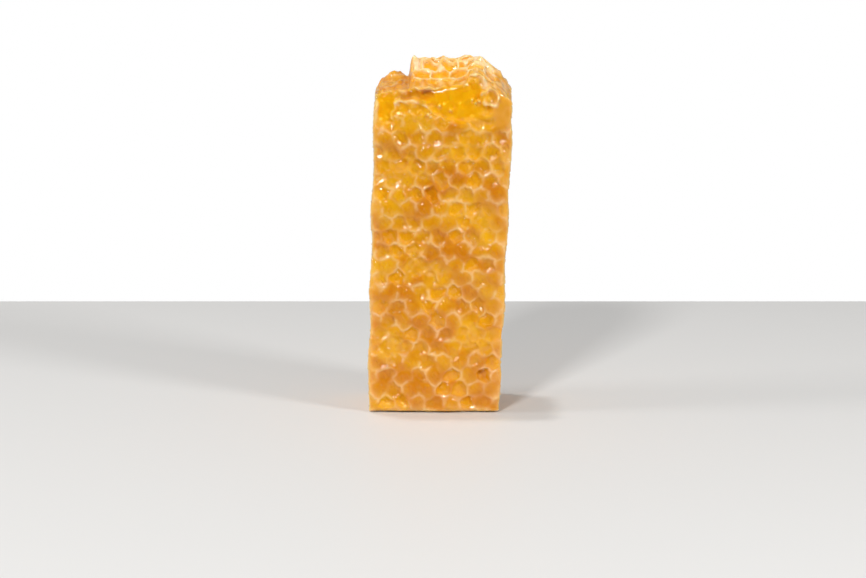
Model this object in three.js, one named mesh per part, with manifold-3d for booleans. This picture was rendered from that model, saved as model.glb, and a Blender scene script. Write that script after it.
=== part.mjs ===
// A piece of cut comb honey: a slab of beeswax comb, standing on its cut lower end, its cells full of honey.
// The broad front and back faces are the capped cells, the two sides and the lower end are knife cuts through
// them, and the upper end is torn. It rises from a brow at the front over a ledge of open cells to a crest.
// The cappings below the brow are gone, so that ridges of wax stand in a smooth sheet of honey there.
//
// Millimetres. +X is the slab's width, +Y its thickness, from the front face to the back face, and +Z is up.
// The origin is the middle of the lower end.

import * as THREE from "three";
import { mergeVertices } from "three/addons/utils/BufferGeometryUtils.js";
import Module from "manifold-3d";

const { clamp, degToRad, lerp, smootherstep, smoothstep } = THREE.MathUtils;

// ---- Driving dimensions ----

const HEIGHT = 115; // from the cut lower end to the highest point of the torn end
const WIDTH_FOOT = 42.6; // across the two cut sides at the foot
const WIDTH_HEAD = 44.6; // and at the torn end
const THICKNESS = 30; // over the cappings of both faces
const LEAN = 3.4; // how far the head stands to the right of the foot

// The lattices of cells. width is a cell, flat to flat, stray is how far a corner lies from its place in an
// even lattice, and shift moves a lattice across and along its face.
const FRONT_CELLS = { width: 5.3, stray: 0.6, shift: [0.1, 2.9] };
const BACK_CELLS = { width: 5.3, stray: 0.6, shift: [2.75, 2.9] };
const TORN_CELLS = { width: 5.8, stray: 0.3, shift: [0.4, -6.2] };
const CELL_WIDTH = FRONT_CELLS.width;
const rowPitch = (width) => (width * Math.sqrt(3)) / 2;
const ROW_PITCH = rowPitch(CELL_WIDTH);

const CAPPING_DOME = 0.85; // from the plain face to the slab's full thickness
const MIDDLE_SHARE = 0.64; // the level middle of a cell, as a share of it
const WET_SHARE = 0.26; // the share of cells that are open or broken, with honey standing in them
const WET_DEPTH = 0.45;
const SUNKEN_SHARE = 0.35; // the share whose capping is sunken; the others are domed
const SUNKEN_DEPTH = [0.55, 0.85];
const DOME_HEIGHT = [0.55, 0.85];

const MIDRIB = 1.2; // the sheet of wax from which both layers of cells are built
const CELL_WALL = 0.8; // between two cells where the knife went through them
const CUT_DEPTH = 0.6; // how far the honey lies back from a cut cell's walls
const FOOT_CUT_DEPTH = 0.5;
const CELL_TILT = degToRad(9); // cells rise towards their mouths
const MOUTH_WALL = 1.6; // wax and capping left at the mouth of a cut cell
const DEEP_CHORD = 1.1; // the height of a cell that is cut near its middle, as a share of the row pitch
const SHALLOW_CHORD = 0.9; // and of one that is cut nearer its side

const SIDE_WAVE = 0.5; // unevenness of the knife's cuts, along the height
const SIDE_TURN = 0.3; // the share of it that they have through the slab
const FACE_WAVE = 0.6; // unevenness of the two capped faces
const SPARE = 12; // how far each face's lattice runs past the slab before it is trimmed

// The torn end, seen from the front: its crest, along the back, and its brow, along the front face. Each pair
// is a place across the slab and a height.
const CREST = [
  [-24, 100.4],
  [-21.2, 103.4],
  [-18.4, 107.6],
  [-15.2, 109.4],
  [-12.4, 109.4],
  [-9.9, 108.2],
  [-8.8, 114],
  [-1.4, 113.8],
  [1.2, 114.6],
  [3.4, 113.6],
  [6, 113.7],
  [8.7, 114.6],
  [13.4, 114.4],
  [15.1, 113.2],
  [17.4, 111.2],
  [19.8, 109.8],
  [21.2, 107.5],
  [24, 104],
];
const BROW = [
  [-24, 102.6],
  [-18, 105.2],
  [-11, 105.8],
  [-6.5, 106.8],
  [-0.7, 106.4],
  [5, 107],
  [8.6, 107.6],
  [10, 110.4],
  [12.2, 111.2],
  [14.2, 109.8],
  [15.6, 107.2],
  [18, 106],
  [24, 102],
];
const BROW_DEPTH = -THICKNESS / 2 + 2; // where the torn end leaves the brow
const LEDGE_FRONT = -9.2; // where its ledge starts
const LEDGE_BACK = -3.6; // and ends
const CREST_DEPTH = 1.8; // where it reaches the crest
const LIP_SHARE = 0.25; // of the rise from brow to crest, the part before the ledge
const LEDGE_SHARE = 0.28; // and the part along it
const BACK_DROP = 2.6; // how far the torn end falls from its crest to the back face

const PATCH_FADE = [0.6, 1.25]; // where an oval patch fades out, as shares of its reach
const SHUT_EDGE = -9.2; // the cells left of this are crushed shut
const BARE_EDGE = 17; // and so are those right of this
const LIP_EDGE = -10.4; // and those in front of this
const SHUT_FADE = 1.5; // how far from an edge or a skin cells go from shut to open
const SKINS = [
  { centre: [-7, 0], reach: [1.3, 4] },
  { centre: [0.7, -2.4], reach: [1.9, 1.7] },
]; // scraps of wax that close cells
const TORN_RIM = 0.4; // the height of an open cell's rim
const RIM_SHARE = 0.84; // its inner edge, as a share of the cell
const POOL_SHARE = 0.74; // the honey's surface
const POOL_LEVEL = -0.4;
const LUMP = 0.6; // unevenness of the crushed wax

const HEAD_SEAM = 94.5; // the cappings above this are gone
const HEAD_BLEND = 3.5;
const SHEET_LIFT = -0.1; // the honey's surface there
const POOL = { centre: [5.6, 101.2], reach: [9.5, 6.6] };
const POOL_SWELL = 0.32; // how far the honey stands out over its deepest part
const FLANK_EDGE = 15.8; // the wax right of this is bare
const FLANK_FADE = 2.5;
const FLANK_DROP = 0.3;

const RIDGE_ROOT = 0.8; // how deep a ridge of wax is rooted in the face
const BROW_LINE = [[-21.4, 105], [-17.2, 105.4], [-12.7, 105.6], [-7.8, 106.9], [-2.7, 106.3], [2.6, 108.3]];
const TERRACE_LINE = [[-15.3, 96.4], [-14.5, 100], [-13.1, 102.3], [-7, 101.8], [-4.1, 100.7], [0.2, 97]];
const ARCH_LINE = [[8.6, 108.2], [9.7, 110.4], [12.2, 111.2], [14.1, 109.9], [15.1, 107.8], [14.6, 106]];
const MIDRIB_LINE = [[-8.6, 0.2], [-4.4, -0.5], [0.2, 0.5], [4.6, -0.4], [9.6, 0.5], [14.6, -0.4], [20, 0.2]];
const FRONT_RIDGES = [
  { points: BROW_LINE, height: 0.5, halfWidth: 1.7 },
  { points: TERRACE_LINE, height: 0.3, halfWidth: 1.1 },
  { points: ARCH_LINE, height: 0.6, halfWidth: 1.4 },
];
const RING = { centre: [16.4, 103.3], radius: 2.6, sides: 12, height: 0.5, halfWidth: 1.2 };
const TORN_RIDGES = [
  { points: [[-7.9, 3.4], [-7.7, -1], [-7.6, -3.4]], height: 0.7, halfWidth: 1.6 },
  { points: [[-7.6, -3.4], [-5.6, -2.9], [-2.6, -4.4]], height: 0.6, halfWidth: 1 },
  { points: [[8.6, -4.2], [8.7, -1.4]], height: 0.8, halfWidth: 1 },
  { points: [[11.6, -3.8], [14.2, -3], [15.8, -3.6], [17.4, -3]], height: 0.8, halfWidth: 1 },
  { points: MIDRIB_LINE, height: TORN_RIM, halfWidth: 1 },
];

const wasm = await Module();
wasm.setup();

// ---- Solids ----

function toSolid(geometry) {
  const bare = geometry.clone();
  bare.deleteAttribute("normal");
  bare.deleteAttribute("uv");
  const merged = mergeVertices(bare, 1e-4);
  return new wasm.Manifold(
    new wasm.Mesh({
      numProp: 3,
      vertProperties: merged.attributes.position.array,
      triVerts: new Uint32Array(merged.index.array),
    }),
  );
}

function toGeometry(solid) {
  const { vertProperties, triVerts, numProp } = solid.getMesh();
  const flat = new THREE.BufferGeometry();
  const positions = new THREE.InterleavedBuffer(vertProperties, numProp);
  flat.setAttribute("position", new THREE.InterleavedBufferAttribute(positions, 3, 0));
  flat.setIndex(new THREE.BufferAttribute(triVerts, 1));
  const geometry = flat.toNonIndexed();
  geometry.computeVertexNormals();
  return geometry;
}

function solidOf(triangles) {
  const geometry = new THREE.BufferGeometry();
  geometry.setAttribute("position", new THREE.BufferAttribute(new Float32Array(triangles.flat(2)), 3));
  return toSolid(geometry);
}

// A block whose near side is a relief and whose far side is flat. near holds the relief's triangles, three
// points each, and flatten moves a point to the far side.
function reliefBlock(near, flatten) {
  const key = (p) => p.map((n) => Math.round(n * 1e4)).join();
  const edges = new Map();
  const triangles = [...near];
  for (const [a, b, c] of near) {
    triangles.push([flatten(a), flatten(c), flatten(b)]);
    for (const [from, to] of [[a, b], [b, c], [c, a]]) {
      edges.set(key(from) + ">" + key(to), [from, to]);
    }
  }
  for (const [from, to] of edges.values()) {
    if (edges.has(key(to) + ">" + key(from))) continue;
    triangles.push([to, from, flatten(from)], [to, flatten(from), flatten(to)]);
  }
  return solidOf(triangles);
}

// ---- The slab's surfaces ----

// A smooth line through the points, which run from left to right.
function lineThrough(points, x) {
  const last = points.length - 1;
  const next = points.findIndex(([px]) => px > x);
  const i = next < 0 ? last : Math.max(next, 1);
  const [x0, z0] = points[i - 1];
  const [x1, z1] = points[i];
  const straight = clamp((x - x0) / (x1 - x0), 0, 1);
  return lerp(z0, z1, (smootherstep(x, x0, x1) + straight) / 2);
}

// The slow unevenness of a face or a cut at a place (a, b) on it, from -1 to 1.
function wave(a, b, phase) {
  return Math.sin(0.19 * a + 0.11 * b + phase) * Math.cos(0.13 * b - 0.07 * a + 2 * phase);
}

const middleAt = (z) => LEAN * (z / HEIGHT - 0.5);
const halfWidthAt = (z) => lerp(WIDTH_FOOT, WIDTH_HEAD, z / HEIGHT) / 2;
const leftSide = (y, z) => middleAt(z) - halfWidthAt(z) + SIDE_WAVE * wave(SIDE_TURN * y, z, 0.6);
const rightSide = (y, z) => middleAt(z) + halfWidthAt(z) + SIDE_WAVE * wave(SIDE_TURN * y, z, 2.1);
const frontFace = (x, z) => -THICKNESS / 2 + CAPPING_DOME + FACE_WAVE * wave(x, z, 1.3);
const backFace = (x, z) => THICKNESS / 2 - CAPPING_DOME + FACE_WAVE * wave(x, z, 3.4);

function tornEnd(x, y) {
  const brow = lineThrough(BROW, x);
  const crest = lineThrough(CREST, x);
  const lip = LIP_SHARE * smoothstep(y, BROW_DEPTH, LEDGE_FRONT);
  const ledge = LEDGE_SHARE * clamp((y - LEDGE_FRONT) / (LEDGE_BACK - LEDGE_FRONT), 0, 1);
  const cliff = (1 - LIP_SHARE - LEDGE_SHARE) * smoothstep(y, LEDGE_BACK, CREST_DEPTH);
  const drop = BACK_DROP * smoothstep(y, CREST_DEPTH, THICKNESS / 2);
  return lerp(brow, crest, lip + ledge + cliff) - drop;
}

// Points set on a surface of the slab. A point of a broad face is across from the slab's middle line, up and
// out of the face, and a point of the torn end is across, through and up.
const onFront = ([across, z, lift]) => [across + middleAt(z), frontFace(across + middleAt(z), z) - lift, z];
const onBack = ([across, z, lift]) => [across + middleAt(z), backFace(across + middleAt(z), z) + lift, z];
const onTornEnd = ([x, y, lift]) => [x, y, tornEnd(x, y) + lift];

const setOn = (triangles, place) => triangles.map((corners) => corners.map(place));
const reversed = (triangles) => triangles.map(([a, b, c]) => [a, c, b]);

// ---- Cells ----

// A repeatable draw from 0 to 1 for a cell.
function draw(column, row, salt) {
  const n = Math.sin(column * 127.1 + row * 311.7 + salt * 74.7) * 43758.5453;
  return n - Math.floor(n);
}

// 1 over the middle of an oval patch and 0 well outside it.
function patchShare({ centre, reach }, u, v) {
  const distance = Math.hypot((u - centre[0]) / reach[0], (v - centre[1]) / reach[1]);
  return 1 - smoothstep(distance, ...PATCH_FADE);
}

const rounded = (n) => Math.round(n * 1e3) / 1e3;

// The corners of a cell, each the same for every cell that shares it.
function cellCorners({ width, stray, shift }, u, v) {
  const side = width / Math.sqrt(3);
  return Array.from({ length: 6 }, (_, i) => {
    const turn = ((i + 0.5) * Math.PI) / 3;
    const cu = rounded(u + side * Math.cos(turn));
    const cv = rounded(v + side * Math.sin(turn));
    const du = stray * Math.sin(0.35 * cu + 0.85 * cv) * Math.cos(0.31 * cv + 0.2);
    const dv = stray * Math.sin(0.8 * cu - 0.4 * cv + 1.1) * Math.cos(0.27 * cu);
    return [rounded(cu + du + shift[0]), rounded(cv + dv + shift[1])];
  });
}

// The triangles of every cell whose centre lies in a rectangle of the lattice. A column counts half cells.
function lattice(cells, [u0, u1], [v0, v1], cellOf) {
  const pitch = rowPitch(cells.width);
  const triangles = [];
  for (let row = Math.ceil(v0 / pitch); row * pitch <= v1; row++) {
    const odd = Math.abs(row % 2);
    const first = Math.ceil(u0 / cells.width - odd / 2);
    for (let column = 2 * first + odd; (column / 2) * cells.width <= u1; column += 2) {
      const corners = cellCorners(cells, (column / 2) * cells.width, row * pitch);
      triangles.push(...cellOf(corners, column, row));
    }
  }
  return triangles;
}

// A ring inside a cell's corners, at a share of their distance from its middle. liftAt gives a point's lift.
function ringOf(corners, share, liftAt) {
  const middle = corners.reduce(([a, b], [u, v]) => [a + u / 6, b + v / 6], [0, 0]);
  return corners.map(([u, v]) => {
    const place = [lerp(middle[0], u, share), lerp(middle[1], v, share)];
    return [...place, liftAt(...place)];
  });
}

// The triangles of an open cell: bands between its rings and a flat middle.
function openTriangles(rings) {
  const triangles = [];
  for (let r = 1; r < rings.length; r++) {
    for (let i = 0; i < 6; i++) {
      const j = (i + 1) % 6;
      triangles.push(
        [rings[r - 1][i], rings[r - 1][j], rings[r][j]],
        [rings[r - 1][i], rings[r][j], rings[r][i]],
      );
    }
  }
  const middle = rings.at(-1);
  for (let i = 1; i < 5; i++) triangles.push([middle[0], middle[i], middle[i + 1]]);
  return triangles;
}

// The triangles of a domed cell, which meet over its middle.
function domeTriangles(edge, middle) {
  return edge.map((corner, i) => [corner, edge[(i + 1) % 6], middle[0]]);
}

// How far the middle of a cell of a broad face stands out: in with its honey, sunken or domed.
function middleLift(column, row, salt) {
  const state = draw(column, row, salt);
  const size = draw(column, row, salt + 1);
  if (state < WET_SHARE) return -WET_DEPTH;
  if (state < WET_SHARE + SUNKEN_SHARE) return -lerp(...SUNKEN_DEPTH, size);
  return lerp(...DOME_HEIGHT, size);
}

// The sheet of honey over the head of the front face: its share of a place there, and its lift.
const sheetShare = (_, z) => smoothstep(z, HEAD_SEAM - HEAD_BLEND / 2, HEAD_SEAM + HEAD_BLEND / 2);
function sheetLift(across, z) {
  const x = across + middleAt(z);
  const flank = smoothstep(x, FLANK_EDGE, FLANK_EDGE + FLANK_FADE);
  return SHEET_LIFT + POOL_SWELL * patchShare(POOL, x, z) - FLANK_DROP * flank;
}

// A cell of a capped face. sheetAt gives the share of a place that lies under the sheet of honey.
const cappedCell = (salt, sheetAt) => (corners, column, row) => {
  const lift = middleLift(column, row, salt);
  const edge = ringOf(corners, 1, (u, v) => sheetLift(u, v) * sheetAt(u, v));
  const [[middleU, middleV]] = ringOf(corners, 0, () => 0);
  const plain = lift > 0 || sheetAt(middleU, middleV) === 1;
  const share = plain ? 0 : MIDDLE_SHARE;
  const middle = ringOf(corners, share, (u, v) => lerp(lift, sheetLift(u, v), sheetAt(u, v)));
  return plain ? domeTriangles(edge, middle) : openTriangles([edge, middle]);
};

// How far the cells of the torn end are shut at a place.
function shutShare(x, y) {
  const left = 1 - smoothstep(x, SHUT_EDGE, SHUT_EDGE + SHUT_FADE);
  const right = smoothstep(x, BARE_EDGE, BARE_EDGE + SHUT_FADE);
  const front = 1 - smoothstep(y, LIP_EDGE, LIP_EDGE + SHUT_FADE);
  return Math.max(left, right, front, ...SKINS.map((skin) => patchShare(skin, x, y)));
}

const lump = (x, y) => LUMP * Math.sin(1.7 * x + 0.5 * y) * Math.cos(1.6 * y - 0.4 * x);

// A cell of the torn end: a standing rim of wax round a pool of honey, or a crushed cell.
function tornCell(corners, column, row) {
  const edge = ringOf(corners, 1, (x, y) => lerp(TORN_RIM, lump(x, y), shutShare(x, y)));
  const middle = ringOf(corners, 0, () => LUMP * (0.3 + draw(column, row, 12)));
  const [x, y] = middle[0];
  if (shutShare(x, y) > 0.5) return domeTriangles(edge, middle);
  const rim = ringOf(corners, RIM_SHARE, () => TORN_RIM);
  const pool = ringOf(corners, POOL_SHARE, () => POOL_LEVEL - 0.2 * draw(column, row, 10));
  return openTriangles([edge, rim, pool]);
}

const across = [-WIDTH_HEAD / 2 - SPARE, WIDTH_HEAD / 2 + SPARE / 2];
const upwards = [-SPARE, HEIGHT + SPARE];
const through = [-THICKNESS / 2 - SPARE / 2, THICKNESS / 2 + SPARE];

// Everything behind the front face.
function behindFront() {
  const near = setOn(lattice(FRONT_CELLS, across, upwards, cappedCell(20, sheetShare)), onFront);
  return reliefBlock(near, ([x, , z]) => [x, THICKNESS, z]);
}

// Everything before the back face.
function beforeBack() {
  const cells = lattice(BACK_CELLS, across, upwards, cappedCell(40, () => 0));
  return reliefBlock(setOn(reversed(cells), onBack), ([x, , z]) => [x, -THICKNESS, z]);
}

// Everything below the torn end.
function belowTornEnd() {
  const near = setOn(lattice(TORN_CELLS, across, through, tornCell), onTornEnd);
  return reliefBlock(near, ([x, y]) => [x, y, -SPARE]);
}

// ---- Ridges ----

// A ridge of wax along a line of points on a face: three-sided, and rooted in the face.
function ridge({ points, height, halfWidth }, place) {
  const last = points.length - 1;
  const sections = points.map(([u, v], i) => {
    const [u0, v0] = points[Math.max(i - 1, 0)];
    const [u1, v1] = points[Math.min(i + 1, last)];
    const length = Math.hypot(u1 - u0, v1 - v0);
    const du = ((v0 - v1) / length) * halfWidth;
    const dv = ((u1 - u0) / length) * halfWidth;
    const root = [[u + du, v + dv, -RIDGE_ROOT], [u - du, v - dv, -RIDGE_ROOT]];
    return [...root, [u, v, height]].map(place);
  });
  const triangles = [sections[0].toReversed(), sections[last]];
  for (let i = 1; i <= last; i++) {
    for (let j = 0; j < 3; j++) {
      const k = (j + 1) % 3;
      const [before, after] = [sections[i - 1], sections[i]];
      triangles.push([before[j], before[k], after[k]], [before[j], after[k], after[j]]);
    }
  }
  const solid = solidOf(triangles);
  return solid.volume() > 0 ? solid : solidOf(reversed(triangles));
}

// The ridges of the front face, whose points are places of the whole slab, and the nearly closed ring there.
function frontRidges() {
  const { centre, radius, sides, height, halfWidth } = RING;
  const points = Array.from({ length: sides }, (_, i) => {
    const turn = (i / sides) * 2 * Math.PI;
    return [centre[0] + radius * Math.cos(turn), centre[1] + radius * Math.sin(turn)];
  });
  const place = ([x, z, lift]) => [x, frontFace(x, z) - lift, z];
  return [...FRONT_RIDGES, { points, height, halfWidth }].map((line) => ridge(line, place));
}

const tornRidges = () => TORN_RIDGES.map((line) => ridge(line, onTornEnd));

// ---- Knife cuts ----

// Everything between the two cut sides and above the foot, as a grid that follows the knife's wander.
function betweenCuts() {
  const rows = 14;
  const columns = 2;
  const top = HEIGHT + SPARE;
  const quad = (a, b, c, d) => [[a, b, c], [a, c, d]];
  const at = (i, j) => [2 * THICKNESS * (i / columns - 0.5), (top * j) / rows];
  const grid = [];
  for (let i = 0; i < columns; i++) {
    for (let j = 0; j < rows; j++) {
      grid.push(...quad(at(i, j), at(i + 1, j), at(i + 1, j + 1), at(i, j + 1)));
    }
  }
  const onSide = (side) => setOn(grid, ([y, z]) => [side(y, z), y, z]);
  const leftOfRight = reliefBlock(onSide(rightSide), ([, y, z]) => [-WIDTH_HEAD, y, z]);
  const rightOfLeft = reliefBlock(reversed(onSide(leftSide)), ([, y, z]) => [WIDTH_HEAD, y, z]);
  return leftOfRight.intersect(rightOfLeft);
}

// A hollow with a flat bed, whose ends and sides slope in by about its depth.
function hollow(length, height, depth) {
  const box = new THREE.BoxGeometry(length, height, 2 * depth);
  const positions = box.attributes.position;
  for (let i = 0; i < positions.count; i++) {
    if (positions.getZ(i) > 0) continue;
    positions.setX(i, positions.getX(i) * (1 - (1.2 * depth) / length));
    positions.setY(i, positions.getY(i) * (1 - (0.9 * depth) / height));
  }
  return box;
}

const layerLength = THICKNESS / 2 - MOUTH_WALL - MIDRIB / 2;
const layerMiddle = (MIDRIB / 2 + THICKNESS / 2 - MOUTH_WALL) / 2;

// The hollows of the cells that a side's knife cut has opened, from the foot to the torn end. A cut goes near
// the middle of every second row's cells and nearer the side of those between.
function sideHollows(side, facing) {
  const rise = Math.tan(CELL_TILT) * (THICKNESS / 2 - layerMiddle);
  const hollows = [];
  for (let row = 0; (row + 1.5) * ROW_PITCH < HEIGHT; row++) {
    for (const layer of [-1, 1]) {
      const shallow = (row + (layer > 0 ? 0 : 1)) % 2;
      const chord = (shallow ? SHALLOW_CHORD : DEEP_CHORD) * ROW_PITCH - CELL_WALL;
      const y = layer * layerMiddle;
      const z = row * ROW_PITCH + FRONT_CELLS.shift[1] - rise + 0.3 * draw(row, layer, 60);
      const length = layerLength * (0.86 + 0.14 * draw(row, layer, 61));
      const geometry = hollow(length, chord, CUT_DEPTH);
      geometry.rotateZ(facing * layer * CELL_TILT);
      geometry.rotateX(Math.PI / 2);
      geometry.rotateZ((facing * Math.PI) / 2);
      geometry.translate(side(y, z), y, z);
      hollows.push(toSolid(geometry));
    }
  }
  return hollows;
}

// And those that the cut across the foot has opened.
function footHollows() {
  const hollows = [];
  const columns = Math.floor(WIDTH_FOOT / CELL_WIDTH);
  for (let column = 0; column < columns; column++) {
    for (const layer of [-1, 1]) {
      const geometry = hollow(layerLength, CELL_WIDTH - CELL_WALL, FOOT_CUT_DEPTH);
      geometry.rotateX(Math.PI);
      geometry.rotateZ(Math.PI / 2);
      const x = middleAt(0) + (column - (columns - 1) / 2) * CELL_WIDTH;
      geometry.translate(x, layer * layerMiddle, 0);
      hollows.push(toSolid(geometry));
    }
  }
  return hollows;
}

// ---- The piece ----

function honeycomb() {
  const add = (whole, line) => whole.add(line);
  const front = frontRidges().reduce(add, behindFront());
  const torn = tornRidges().reduce(add, belowTornEnd());
  const slab = front.intersect(torn).intersect(beforeBack()).intersect(betweenCuts());
  const hollows = [...sideHollows(leftSide, -1), ...sideHollows(rightSide, 1), ...footHollows()];
  const piece = hollows.reduce((whole, cut) => whole.subtract(cut), slab);
  const largest = piece.decompose().sort((a, b) => b.volume() - a.volume())[0];
  const { min, max } = largest.boundingBox();
  const centred = toGeometry(largest);
  centred.translate(-(min[0] + max[0]) / 2, -(min[1] + max[1]) / 2, -min[2]);
  return centred;
}

const honeyedWax = new THREE.MeshStandardMaterial({ color: 0xeea825, roughness: 0.25, metalness: 0 });

const piece = new THREE.Group();
const comb = new THREE.Mesh(honeycomb(), honeyedWax);
comb.name = "honeycomb";
piece.add(comb);

export default piece;
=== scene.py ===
"""A piece of cut comb honey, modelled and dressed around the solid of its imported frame.

The comb is a slab of beeswax cells, two layers of them back to back on a thin sheet of wax, and every
cell is full of honey. It stands on its cut foot. Its broad faces are capped, its sides and foot are
knife cuts, and its upper end is torn open.

Each face of the slab is worked out as flat maps: how far the wax stands out of the plain face, how far
the honey does, and how the wax there looks. The maps close round one block of space, and the skin of
what lies inside them is the mesh. The classes work in millimetres, and a mesh is written in metres, in
the frame's own axes: +X across the slab, +Y through it from front to back, +Z up.
"""

import logging
import math
from collections.abc import Iterable, Mapping, Sequence
from dataclasses import dataclass, field
from enum import Enum
from functools import cached_property, reduce

import bpy
import numpy as np
import numpy.typing as npt
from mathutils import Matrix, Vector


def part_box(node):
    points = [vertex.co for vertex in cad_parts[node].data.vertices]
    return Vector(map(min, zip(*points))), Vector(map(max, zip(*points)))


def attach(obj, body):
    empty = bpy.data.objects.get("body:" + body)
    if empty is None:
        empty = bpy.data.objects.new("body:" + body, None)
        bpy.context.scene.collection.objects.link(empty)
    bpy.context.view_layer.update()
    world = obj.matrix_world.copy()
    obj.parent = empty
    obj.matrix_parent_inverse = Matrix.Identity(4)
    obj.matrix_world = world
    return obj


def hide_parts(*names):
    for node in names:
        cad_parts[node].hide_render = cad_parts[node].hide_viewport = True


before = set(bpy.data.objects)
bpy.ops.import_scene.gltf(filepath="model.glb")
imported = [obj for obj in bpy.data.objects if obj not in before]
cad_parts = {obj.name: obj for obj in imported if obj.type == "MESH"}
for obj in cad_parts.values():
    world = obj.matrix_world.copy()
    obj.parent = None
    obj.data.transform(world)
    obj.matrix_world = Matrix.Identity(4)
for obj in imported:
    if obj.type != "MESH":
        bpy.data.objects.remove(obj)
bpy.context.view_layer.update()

import openvdb
from mathutils import Vector

LOG = logging.getLogger("comb_honey")
MM = 0.001
NODE = "honeycomb"
BODY = "root"
PITCH = 0.25  # between the samples that the meshes are worked out from
WHITE = (1.0, 1.0, 1.0, 1.0)

Map = npt.NDArray[np.float64]
Points = Sequence[tuple[float, float]]
Span = tuple[float, float]
Colour = tuple[float, float, float, float]
Socket = bpy.types.NodeSocket
Tree = bpy.types.NodeTree


# ---- Small tools ----


def ease(low: float, high: float, value: Map) -> Map:
    """Returns 0 up to low, 1 from high on, and a smooth step between them."""
    share = np.clip((value - low) / (high - low), 0.0, 1.0)
    return share * share * (3.0 - 2.0 * share)


def bell(distance: Map, width: float) -> Map:
    """Returns a smooth bump that is 1 at no distance and nearly gone at twice the width."""
    return np.exp(-((distance / width) ** 2))


def blend(first: Map, second: Map, share: Map) -> Map:
    """Returns the first map, given over to the second by a share from 0 to 1."""
    return first * (1 - share) + second * share


def highest(values: Iterable[Map]) -> Map:
    """Returns the greatest of some maps at each place."""
    return reduce(np.maximum, values)


def soft_min(first: Map, second: Map, rounding: float) -> Map:
    """Returns the lesser of two depths, rounded off where they are alike.

    Args:
        first: Depths below one face.
        second: Depths below another.
        rounding: Width of the rounding, in the same unit as the depths.

    Returns:
        The depth below both faces.
    """
    overlap = np.maximum(rounding - np.abs(first - second), 0.0) / rounding
    return np.minimum(first, second) - overlap * overlap * rounding / 4.0


def path_distance(across: Map, along: Map, points: Points) -> Map:
    """Measures how far each place lies from a line.

    Args:
        across: First coordinate of each place.
        along: Second coordinate.
        points: The line's corners.

    Returns:
        The distances.
    """
    nearest = np.full(np.broadcast(across, along).shape, np.inf)
    for (u0, v0), (u1, v1) in zip(points, points[1:]):
        run_u, run_v = u1 - u0, v1 - v0
        share = ((across - u0) * run_u + (along - v0) * run_v) / (run_u**2 + run_v**2)
        share = np.clip(share, 0.0, 1.0)
        gap = np.hypot(across - u0 - share * run_u, along - v0 - share * run_v)
        nearest = np.minimum(nearest, gap)
    return nearest


def ripple(across: Map, along: Map, length: float, seed: int) -> Map:
    """Sums seven seeded waves into an uneven, smooth field of about unit strength.

    Args:
        across: First coordinate of each point.
        along: Second coordinate.
        length: Typical length of a wave.
        seed: Seed of the waves' directions and phases.

    Returns:
        The field at each point.
    """
    waves, spread = 7, (0.75, 1.35)
    draw = np.random.default_rng(seed)
    turns = draw.uniform(0.0, 2.0 * math.pi, waves)
    phases = draw.uniform(0.0, 2.0 * math.pi, waves)
    lengths = length * draw.uniform(*spread, waves)
    total = np.zeros(np.broadcast(across, along).shape)
    for turn, phase, wave in zip(turns, phases, lengths):
        run = across * math.cos(turn) + along * math.sin(turn)
        total += np.sin(2.0 * math.pi / wave * run + phase)
    return total / math.sqrt(waves / 2.0)


def patches(across: Map, along: Map, length: float, seed: int, strength: float = 1.0) -> Map:
    """Returns patches of 1 with others of 0 between them, which meet the harder the stronger they are."""
    return 0.5 + 0.5 * np.clip(strength * ripple(across, along, length, seed), -1.0, 1.0)


@dataclass(frozen=True)
class CrossedWaves:
    """Two slow waves across each other, by the radians that they turn in a millimetre along each axis."""

    sine: Span
    cosine: Span
    phases: Span = (0.0, 0.0)

    def at(self, a: Map, b: Map, turn: float = 0.0) -> Map:
        """Returns their product at each place, from -1 to 1, with the waves moved on by a turn."""
        rise = np.sin(self.sine[0] * a + self.sine[1] * b + self.phases[0] + turn)
        return rise * np.cos(self.cosine[0] * a + self.cosine[1] * b + self.phases[1] + 2 * turn)


# ---- Finishes ----


LOOKS = ("pale", "milky", "tone", "depth")  # the maps of a relief that say how its wax looks


def linear(code: str) -> Colour:
    """Turns an sRGB hex colour into the linear colour that a shader takes.

    Args:
        code: The colour, such as #FFFFFF.

    Returns:
        Red, green and blue from 0 to 1, and an alpha of 1.
    """
    shares = (int(code[i : i + 2], 16) / 255.0 for i in (1, 3, 5))
    red, green, blue = (c / 12.92 if c <= 0.04045 else ((c + 0.055) / 1.055) ** 2.4 for c in shares)
    return red, green, blue, 1.0


def add_node(
    tree: Tree, kind: str, inputs: Mapping[str | int, object] | None = None, **settings: object
) -> bpy.types.Node:
    """Adds a node to a tree, sets it and links it.

    Args:
        tree: The tree that the node goes into.
        kind: The node's type, such as ShaderNodeMix.
        inputs: A value, or the socket of another node, for each input.
        settings: The node's own properties.

    Returns:
        The new node.
    """
    node = tree.nodes.new(kind)
    for name, value in settings.items():
        setattr(node, name, value)
    for name, value in (inputs or {}).items():
        if isinstance(value, Socket):
            tree.links.new(value, node.inputs[name])
        else:
            node.inputs[name].default_value = value
    return node


# The inputs and the output of a colour Mix node, which shares its names with other kinds of mix.
MIX_SHARE, MIX_FIRST, MIX_SECOND, MIX_RESULT = 0, 6, 7, 2


def mix(tree: Tree, share: Socket, first: Socket | Colour, second: Socket | Colour) -> Socket:
    """Returns the socket of a blend from the first colour to the second."""
    inputs = {MIX_SHARE: share, MIX_FIRST: first, MIX_SECOND: second}
    return add_node(tree, "ShaderNodeMix", inputs, data_type="RGBA").outputs[MIX_RESULT]


def blank_material(name: str) -> bpy.types.Material:
    """Adds a material.

    Args:
        name: The material's name.

    Returns:
        The material, whose tree has no nodes yet.
    """
    made = bpy.data.materials.new(name)
    made.use_nodes = True
    made.node_tree.nodes.clear()
    return made


class Laying(Enum):
    """How a noise is laid on a value: by which operation, and around which middle."""

    ADDED = ("ADD", 0.0)
    SCALING = ("MULTIPLY", 1.0)


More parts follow.
